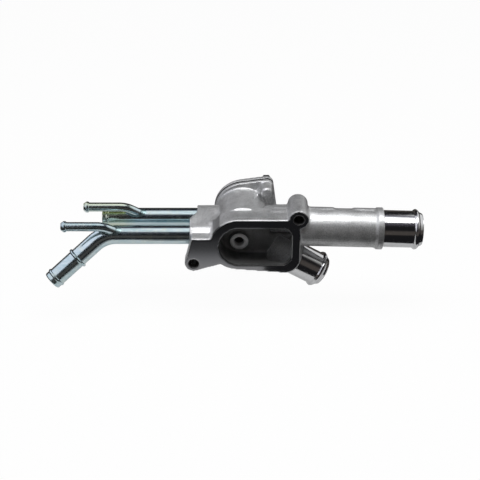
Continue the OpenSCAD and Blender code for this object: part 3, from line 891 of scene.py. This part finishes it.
@dataclass
class Branch:
    """Small tube that bends down onto its pipe and is brazed there."""

    node: str
    pipe_axis: Array
    tip_x: float
    bend_x: float
    rise: float
    roll: float
    radius: float = 4.5 * MM
    wall: float = 1 * MM
    bend_radius: float = 18 * MM
    bend: float = math.radians(38)
    bead_at: float = 3.4 * MM
    bead_height: float = 1 * MM
    bead_spread: float = 1.9
    mouth: float = 1.7 * MM
    inner_mouth: float = 0.5 * MM
    fine_reach: float = 8.84 * MM
    sides: int = 56
    braze_width: float = 3 * MM
    braze_ripple: float = 0.36 * MM
    braze_climb: float = 1.15
    braze_core: float = 0.8
    braze_lift: float = 0.05 * MM
    braze_tuck: float = 0.12 * MM
    braze_skirt: float = 0.15 * MM
    braze_sunk: float = 1.2 * MM
    braze_sides: int = 72
    braze_steps: int = 14
    pipe_radius: float = 9.2 * MM

    @property
    def out(self) -> Array:
        """Direction from the pipe's axis to the branch, rolled about the pipe."""
        return np.array([0.0, -math.sin(self.roll), math.cos(self.roll)])

    @property
    def leg(self) -> float:
        """Length of the slanted leg from the bend down to the pipe's axis."""
        return (self.rise - self.bend_radius * (1 - math.cos(self.bend))) / math.sin(self.bend)

    @property
    def slant(self) -> Array:
        """Direction of the slanted leg."""
        return math.cos(self.bend) * AHEAD - math.sin(self.bend) * self.out

    @property
    def foot(self) -> Array:
        """Point where the leg's axis meets the pipe's axis."""
        drop_x = self.bend_radius * math.sin(self.bend) + self.leg * math.cos(self.bend)
        return self.pipe_axis + (drop_x - self.bend_x) * AHEAD

    def tube(self) -> Object:
        """Tube with an end bead, bent down onto the pipe.

        Returns:
            The tube.
        """
        start = self.pipe_axis - self.tip_x * AHEAD + self.rise * self.out
        reach = self.leg - self.pipe_radius
        path = bent_path(start, AHEAD, -self.out, self.tip_x - self.bend_x, self.bend_radius, self.bend,
                         reach, [(0, self.fine_reach)])
        outer = self.radius + bead(path.run, self.bead_at, self.bead_height, self.bead_spread)
        outer = outer - tip_round(-path.run, 0, self.mouth)
        eased = 0.5 * tip_round(-path.run, 0, self.inner_mouth)
        inner = np.full_like(outer, self.radius - self.wall) + eased
        return tube_on_path(self.node + "_tube", path, outer, inner, self.sides)

    def saddle(self) -> Object:
        """Braze fillet between tube and pipe.

        Round the tube by angle a and outwards by t, a point runs on a quadratic curve from the tube's wall,
        through the line where tube and pipe meet, to a foot print on the pipe that is wider than the tube.

        Returns:
            The fillet.
        """
        sides = self.braze_sides
        a = np.linspace(0, 2 * math.pi, sides, endpoint=False)
        across = np.cross(self.out, AHEAD)
        up = np.cross(across, self.slant)
        ring = np.cos(a)[:, None] * across + np.sin(a)[:, None] * up
        wide = self.braze_width + self.braze_ripple * np.sin(3 * a + 0.7)

        def on_pipe(radius: Array, lift: float) -> Array:
            """Points on the pipe's skin straight down the leg from a ring.

            Args:
                radius: the ring's radius at each angle.
                lift: height above the pipe's skin.

            Returns:
                The points.
            """
            base = self.foot + ring * radius[:, None]
            y = np.clip((base - self.pipe_axis) @ across, -self.pipe_radius * 0.97, self.pipe_radius * 0.97)
            z = np.sqrt((self.pipe_radius + lift) ** 2 - y ** 2)
            shift = ((base - self.pipe_axis) @ self.out - z) / (self.slant @ self.out)
            return base - self.slant * shift[:, None]

        meet = on_pipe(np.full(sides, self.radius), self.braze_lift)
        skirt = on_pipe(self.radius + wide, -self.braze_skirt)
        wall = meet - self.slant * (wide * self.braze_climb)[:, None] - ring * self.braze_tuck
        t = np.linspace(0, 1, self.braze_steps)[:, None, None]
        curve = (1 - t) ** 2 * wall + 2 * t * (1 - t) * meet + t ** 2 * skirt
        under = on_pipe(self.radius + wide, -self.braze_sunk)[None]
        inside = on_pipe(np.full(sides, self.radius * self.braze_core), -self.braze_sunk)[None]
        inner = (wall - ring * 0.8 * MM)[None]
        points = np.concatenate([curve, under, inside, inner])
        quads = grid_quads(len(points), sides, True)
        return mesh_object(self.node + "_tube_braze", points.reshape(-1, 3), quads)


@dataclass
class Pipes:
    """Both plated pipes with their brazed branches."""

    radius: float = 9.2 * MM
    wall: float = 1.5 * MM
    heater_axis: Array = spot(0.0, 20.0, -3.6)
    heater_seat_x: float = 39.7 * MM
    heater_corner_x: float = 138.8 * MM
    heater_bend: float = math.radians(42)
    heater_bend_radius: float = 32 * MM
    heater_roll: float = math.radians(32)
    heater_leg: float = 68 * MM
    return_axis: Array = spot(0.0, 46.0, 0.9)
    return_seat_x: float = 33.3 * MM
    return_tip_x: float = 141.7 * MM
    stop_back: float = 34 * MM
    stop_height: float = 1.6 * MM
    end_back: float = 6 * MM
    return_end_back: float = 5 * MM
    bead_height: float = 0.9 * MM
    mouth: float = 1.4 * MM
    return_mouth: float = 0.6 * MM
    fine_reach: float = 5 * MM
    sides: int = 88

    def heater(self) -> Object:
        """Bent pipe with a stop bead and an end bead.

        Returns:
            The pipe.
        """
        tangent = self.heater_bend_radius * math.tan(self.heater_bend / 2)
        straight = self.heater_corner_x - self.heater_seat_x - tangent
        leg = self.heater_leg - tangent
        total = straight + self.heater_bend_radius * self.heater_bend + leg
        stop, end = total - self.stop_back, total - self.end_back
        fine = [(stop - self.fine_reach, stop + self.fine_reach), (end - self.fine_reach, total)]
        turn = np.array([0.0, -math.sin(self.heater_roll), -math.cos(self.heater_roll)])
        start = self.heater_axis - self.heater_seat_x * AHEAD
        path = bent_path(start, -AHEAD, turn, straight, self.heater_bend_radius, self.heater_bend, leg, fine)
        outer = self.radius + bead(path.run, stop, self.stop_height, 1.0)
        outer = outer + bead(path.run, end, self.bead_height) - tip_round(path.run, total, self.mouth)
        return tube_on_path("heater_tube", path, outer, self.bore(path.run, total), self.sides)

    def back(self) -> Object:
        """Straight return pipe with an end bead.

        Returns:
            The pipe.
        """
        total = self.return_tip_x - self.return_seat_x
        end = total - self.return_end_back
        start = self.return_axis - self.return_seat_x * AHEAD
        path = straight_path(start, -AHEAD, total, [(end - self.fine_reach, total)])
        outer = self.radius + bead(path.run, end, self.bead_height)
        outer = outer - tip_round(path.run, total, self.return_mouth)
        return tube_on_path("return_tube", path, outer, self.bore(path.run, total), self.sides)

    def bore(self, run: Array, total: float) -> Array:
        """Inner radius, eased open at the mouth."""
        return self.radius - self.wall + 0.5 * tip_round(run, total, self.return_mouth)

    def build(self) -> None:
        """Builds and dresses pipes, branches and braze."""
        plated = PlatedFinish().make("zinc_plating")
        braze = BRAZE.make("braze_metal")
        place(self.heater(), plated, Slot.PLATING, "heater_pipe")
        place(self.back(), plated, Slot.PLATING, "return_pipe")
        branches = [Branch("heater_branch", self.heater_axis, tip_x=178.5 * MM,
                           bend_x=144.5 * MM, rise=14.6 * MM, roll=math.radians(27)),
                    Branch("return_branch", self.return_axis, tip_x=159 * MM,
                           bend_x=124 * MM, rise=16.2 * MM, roll=math.radians(22))]
        for branch in branches:
            place(branch.tube(), plated, Slot.PLATING, branch.node)
            place(branch.saddle(), braze, Slot.PLATING, branch.node)


# Cover and thermostat


@dataclass
class Cover:
    """Rear cover with its turned hose neck."""

    neck_top: Array = spot(0.0, 88.0, -3.0)
    neck_length: float = 66 * MM
    neck_radius: float = 16 * MM
    neck_bore: float = 12.95 * MM
    neck_reach: float = 24 * MM
    face: float = 34 * MM
    voxel: float = 0.85 * MM
    passes: int = 4

    def build(self, cast: Material) -> None:
        """Builds the cover's casting and neck and dresses them.

        Args:
            cast: finish of the casting.
        """
        down = np.array([0.0, 0.0, -1.0])
        shell = melted_copy("rear_cover", "cast_cover", self.voxel, self.passes)
        cut = self.neck_top + down * self.face
        cut_open(shell, cut, down, self.neck_reach)
        place(shell, cast, Slot.CASTING, "rear_cover")
        neck = Spigot(cut - down * LAP, down, self.neck_length - self.face + LAP, self.neck_radius,
                      self.neck_bore)
        place(neck.build("cover_spigot"), TurnedFinish().make("turned_cover_neck", (0.3, 0.3, 8.0)),
              Slot.CASTING, "rear_cover")


@dataclass
class Thermostat:
    """Wax valve inside the drum; its spring is drawn as smooth wire."""

    coil_radius: float = 9.5 * MM
    wire_radius: float = 1 * MM
    turns: int = 4
    low_y: float = 44.65 * MM
    high_y: float = 59.35 * MM
    lift: float = 8 * MM
    turn_steps: int = 48
    sides: int = 14
    end_power: int = 240

    def spring(self) -> Object:
        """Wire on a helix: angle and height both grow evenly along the wire, with a rounded end.

        Returns:
            The spring.
        """
        steps = self.turn_steps * self.turns
        t = np.linspace(0, 1, steps)
        a = 2 * math.pi * self.turns * t
        centre = np.stack([self.coil_radius * np.cos(a), self.low_y + (self.high_y - self.low_y) * t,
                           self.coil_radius * np.sin(a)], -1)
        outward = np.stack([np.cos(a), np.zeros_like(a), np.sin(a)], -1)
        up = np.array([0.0, 1.0, 0.0])
        b = np.linspace(0, 2 * math.pi, self.sides, endpoint=False)
        ends = np.sqrt(np.clip(1 - (np.abs(2 * t - 1) ** self.end_power), 1e-4, 1))
        spoke = np.cos(b)[None, :, None] * outward[:, None, :] + np.sin(b)[None, :, None] * up
        points = centre[:, None, :] + self.wire_radius * ends[:, None, None] * spoke
        return mesh_object("spring_wire", points.reshape(-1, 3), grid_quads(steps, self.sides, False))

    def build(self) -> None:
        """Builds the spring and dresses the solids that show as they are."""
        brass, wire, rubber = (SHEET_BRASS.make("pressed_brass"), BRIGHT_WIRE.make("bright_wire"),
                               RUBBER.make("black_rubber"))
        spring = self.spring()
        place(spring, wire, Slot.WIRE, "valve_spring")
        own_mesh(spring)
        for node in ("thermostat_plate", "thermostat_frame", "valve_disc", "wax_capsule", "jiggle_pin"):
            dress_solid(node, brass)
        dress_solid("piston_pin", wire)
        dress_solid("thermostat_seal", rubber)
        dress_solid("cover_gasket", rubber)
        dress_solid("cover_bolts", PHOSPHATE.make("dark_phosphate"))


def dress_solid(node: str, material: Material) -> None:
    """Gives a solid that shows as it is its finish.

    Args:
        node: the solid.
        material: its finish.
    """
    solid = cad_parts[node]
    solid.data.materials.clear()
    solid.data.materials.append(material)
    LOG.info("%s dressed", node)


# Studio


@dataclass
class Studio:
    """Pale floor, soft overhead light, dark and bright cards for the reflections, and the camera."""

    elevation: float = 32.0
    distance: float = 1.05
    focal_px: float = 1093.75
    image_px: float = 480.0
    sensor: float = 36.0
    offset_x: float = -5.47 * MM
    offset_up: float = 2.26 * MM
    ambient: float = 0.07
    floor_z: float = -0.085
    floor_half: float = 3.0
    floor_tone: float = 0.45
    floor_glow: float = 1.05
    floor_seen: float = 0.92
    floor_mirrored: float = 0.42
    wall_radius: float = 0.60
    wall_top: float = 1.30
    ring_points: int = 64
    arc_points: int = 24
    lamp_place: tuple = (0.0, -0.05, 0.95)
    lamp_size: tuple = (1.1, 0.45)
    lamp_power: float = 8.5

    def camera(self) -> None:
        """Places the camera at the viewing angle of the photograph."""
        e = math.radians(self.elevation)
        look = Vector((0.0, math.cos(e), -math.sin(e)))
        up = Vector((0.0, math.sin(e), math.cos(e)))
        data = bpy.data.cameras.new("camera")
        data.sensor_width = self.sensor
        data.lens = self.sensor * self.focal_px / self.image_px
        eye = bpy.data.objects.new("camera", data)
        eye.location = -self.distance * look + self.offset_up * up + Vector((self.offset_x, 0.0, 0.0))
        eye.rotation_euler = (math.radians(90 - self.elevation), 0.0, 0.0)
        bpy.context.scene.collection.objects.link(eye)
        bpy.context.scene.camera = eye

    def world(self) -> None:
        """White backdrop for camera and reflections, plain soft light for the rest."""
        world = bpy.data.worlds.new("studio")
        bpy.context.scene.world = world
        world.use_nodes = True
        g = Graph(world.node_tree)
        path = g.node("ShaderNodeLightPath").outputs
        seen = g.math("MAXIMUM", path["Is Camera Ray"],
                      g.math("MAXIMUM", path["Is Glossy Ray"], path["Is Transmission Ray"]))
        strength = g.math("MULTIPLY_ADD", seen, 1.0 - self.ambient, self.ambient)
        sky = g.node("ShaderNodeBackground", {0: (1.0, 1.0, 1.0, 1.0), 1: strength})
        g.node("ShaderNodeOutputWorld", {0: sky.outputs[0]})

    def floor(self) -> None:
        """Pale floor that stays white to the camera and keeps a faint shadow."""
        corners = self.floor_half * np.array([[-1, -1], [1, -1], [1, 1], [-1, 1]])
        points = np.column_stack([corners, np.full(4, self.floor_z)])
        plane = mesh_object("floor", points, np.array([[0, 1, 2, 3]]))
        material, g = node_material("pale_floor")
        path = g.node("ShaderNodeLightPath").outputs
        matt = g.node("ShaderNodeBsdfDiffuse", {0: (self.floor_tone,) * 3})
        glow = g.node("ShaderNodeEmission", {0: (1.0, 1.0, 1.0), 1: self.floor_glow})
        glossy = g.math("MULTIPLY", path["Is Glossy Ray"], self.floor_mirrored)
        share = g.math("MULTIPLY_ADD", path["Is Camera Ray"], self.floor_seen, glossy)
        both = g.node("ShaderNodeMixShader", {0: share, 1: matt.outputs[0], 2: glow.outputs[0]})
        g.node("ShaderNodeOutputMaterial", {0: both.outputs[0]})
        plane.data.materials.append(material)

    def card(self, name: str, points: Array, quads: Array, stops: list[tuple[float, tuple]],
             axis: int = 2, span: Pair | None = None) -> None:
        """Card that only reflections see, shaded along one axis.

        Args:
            name: its name.
            points: corner points in metres.
            quads: faces.
            stops: share of the span and the colour there.
            axis: index of the axis, the height unless given.
            span: where the share is none and whole, the wall's height unless given.
        """
        low, high = span or (self.floor_z, self.wall_top)
        card = mesh_object(name, points, quads)
        material, g = node_material(name)
        where = g.node("ShaderNodeSeparateXYZ", {0: g.node("ShaderNodeTexCoord").outputs["Object"]}).outputs
        share = g.node("ShaderNodeMapRange", {0: where[axis], 1: low, 2: high}).outputs[0]
        dull = g.node("ShaderNodeEmission", {0: g.ramp(share, stops), 1: 1.0})
        g.node("ShaderNodeOutputMaterial", {0: dull.outputs[0]})
        card.data.materials.append(material)
        for ray in ("camera", "diffuse", "shadow", "transmission", "volume_scatter"):
            setattr(card, "visible_" + ray, False)

    def arc(self, turn: Pair, radius: float, rise: Pair) -> tuple[Array, Array]:
        """Upright surface that curves round the stage.

        Args:
            turn: angles in radians at which it begins and ends.
            radius: distance from the middle of the stage.
            rise: heights of its lower and upper edge.

        Returns:
            Its points and faces.
        """
        count = self.arc_points
        a = np.linspace(*turn, count)
        edges = [np.column_stack([radius * np.cos(a), radius * np.sin(a), np.full(count, z)]) for z in rise]
        first = np.arange(count - 1)
        return np.concatenate(edges), np.stack([first, first + 1, first + 1 + count, first + count], -1)

    def cards(self) -> None:
        """Dark wall round the stage, soft boxes in front of it and dark cards on the floor."""
        brown, black, violet = (0.075, 0.066, 0.06), (0.012, 0.012, 0.013), (0.06, 0.055, 0.07)
        lilac, glow = (0.92, 0.92, 1.0), (0.82, 0.82, 0.92)
        shady, silver, white = (0.10, 0.095, 0.09), (0.45, 0.45, 0.44), (0.9, 0.9, 0.9)
        dusk, dawn = (0.12, 0.115, 0.14), (0.42, 0.42, 0.48)
        a = np.linspace(0, 2 * math.pi, self.ring_points, endpoint=False)
        ring = np.stack([np.cos(a), np.sin(a)], -1)
        level = np.full(self.ring_points, self.floor_z + 2 * MM)
        foot = np.column_stack([ring * self.wall_radius, level])
        head = np.column_stack([ring * self.wall_radius, np.full(self.ring_points, self.wall_top)])
        around = grid_quads(2, self.ring_points, False)
        self.card("dark_wall", np.concatenate([foot, head]), around,
                  [(0.0, brown), (0.15, brown), (0.22, black), (0.45, black), (0.65, violet), (1.0, violet)])
        left, right = (math.pi - 0.95, math.pi + 0.95), (-0.5, 1.0)
        rear = (math.pi / 2 - 0.8, math.pi / 2 + 0.8)
        self.card("left_softbox", *self.arc(left, 0.57, (0.14, 1.0)), [(0.0, lilac), (1.0, lilac)])
        self.card("right_softbox", *self.arc(right, 0.57, (0.10, 0.75)),
                  [(0.0, shady), (0.16, silver), (0.36, white), (1.0, white)], 1, (-0.28, 0.48))
        self.card("rear_glow", *self.arc(rear, 0.585, (0.72, 1.3)),
                  [(0.0, violet), (0.35, dusk), (0.75, dawn), (1.0, glow)], 2, (0.72, 1.3))
        self.floor_card()
        near_x = 0.26 * ring[:, 0] - 0.02
        step_out = 0.07 / (1 + np.exp((near_x + 0.02) / 0.012))
        near_y = 0.03 + (0.08 + step_out) * ring[:, 1]
        mouth = np.column_stack([near_x, near_y, level])
        self.card("dark_apron", np.concatenate([mouth, foot]), around, [(0.0, black), (1.0, black)])

    def floor_card(self) -> None:
        """Grey card on the floor that grades the milled flange face."""
        dim, grey, pale = (0.045, 0.045, 0.046), (0.19, 0.19, 0.195), (0.29, 0.285, 0.285)
        spot = np.array([[-0.13, -0.135], [0.02, -0.135], [0.02, -0.045], [-0.10, -0.045]])
        points = np.column_stack([spot, np.full(4, self.floor_z + 3 * MM)])
        self.card("grey_card", points, np.array([[0, 1, 2, 3]]),
                  [(0.0, dim), (0.2, dim), (0.6, grey), (0.95, pale)], 1, (-0.125, -0.08))

    def lamp(self) -> None:
        """Adds the soft lamp overhead, which faces the origin."""
        data = bpy.data.lights.new("overhead", "AREA")
        data.shape = "RECTANGLE"
        data.size, data.size_y = self.lamp_size
        data.energy = self.lamp_power
        lamp = bpy.data.objects.new("overhead", data)
        lamp.location = self.lamp_place
        lamp.rotation_euler = (-Vector(self.lamp_place)).to_track_quat("-Z", "Y").to_euler()
        bpy.context.scene.collection.objects.link(lamp)

    def spare(self, names: tuple[str, ...]) -> None:
        """Keeps the overhead lamp off plated pieces, which then mirror only the white sky above.

        Args:
            names: names of the pieces.
        """
        spared = bpy.data.collections.new("plated")
        for name in names:
            spared.objects.link(bpy.data.objects[name])
        for member in spared.collection_objects:
            member.light_linking.link_state = "EXCLUDE"
        bpy.data.objects["overhead"].light_linking.receiver_collection = spared

    def build(self) -> None:
        """Sets the stage, the lights and the camera."""
        bpy.context.scene.view_settings.view_transform = "Standard"
        self.camera()
        self.world()
        self.floor()
        self.cards()
        self.lamp()


def main() -> None:
    """Builds the studio and the sub-assemblies in order."""
    studio = Studio()
    studio.build()
    casting = Casting()
    pieces = casting.build()
    casting.dress(pieces)
    Cover().build(pieces[0].data.materials[0])
    Pipes().build()
    Thermostat().build()
    studio.spare(PLATED)


if __name__ == "__main__":
    main()
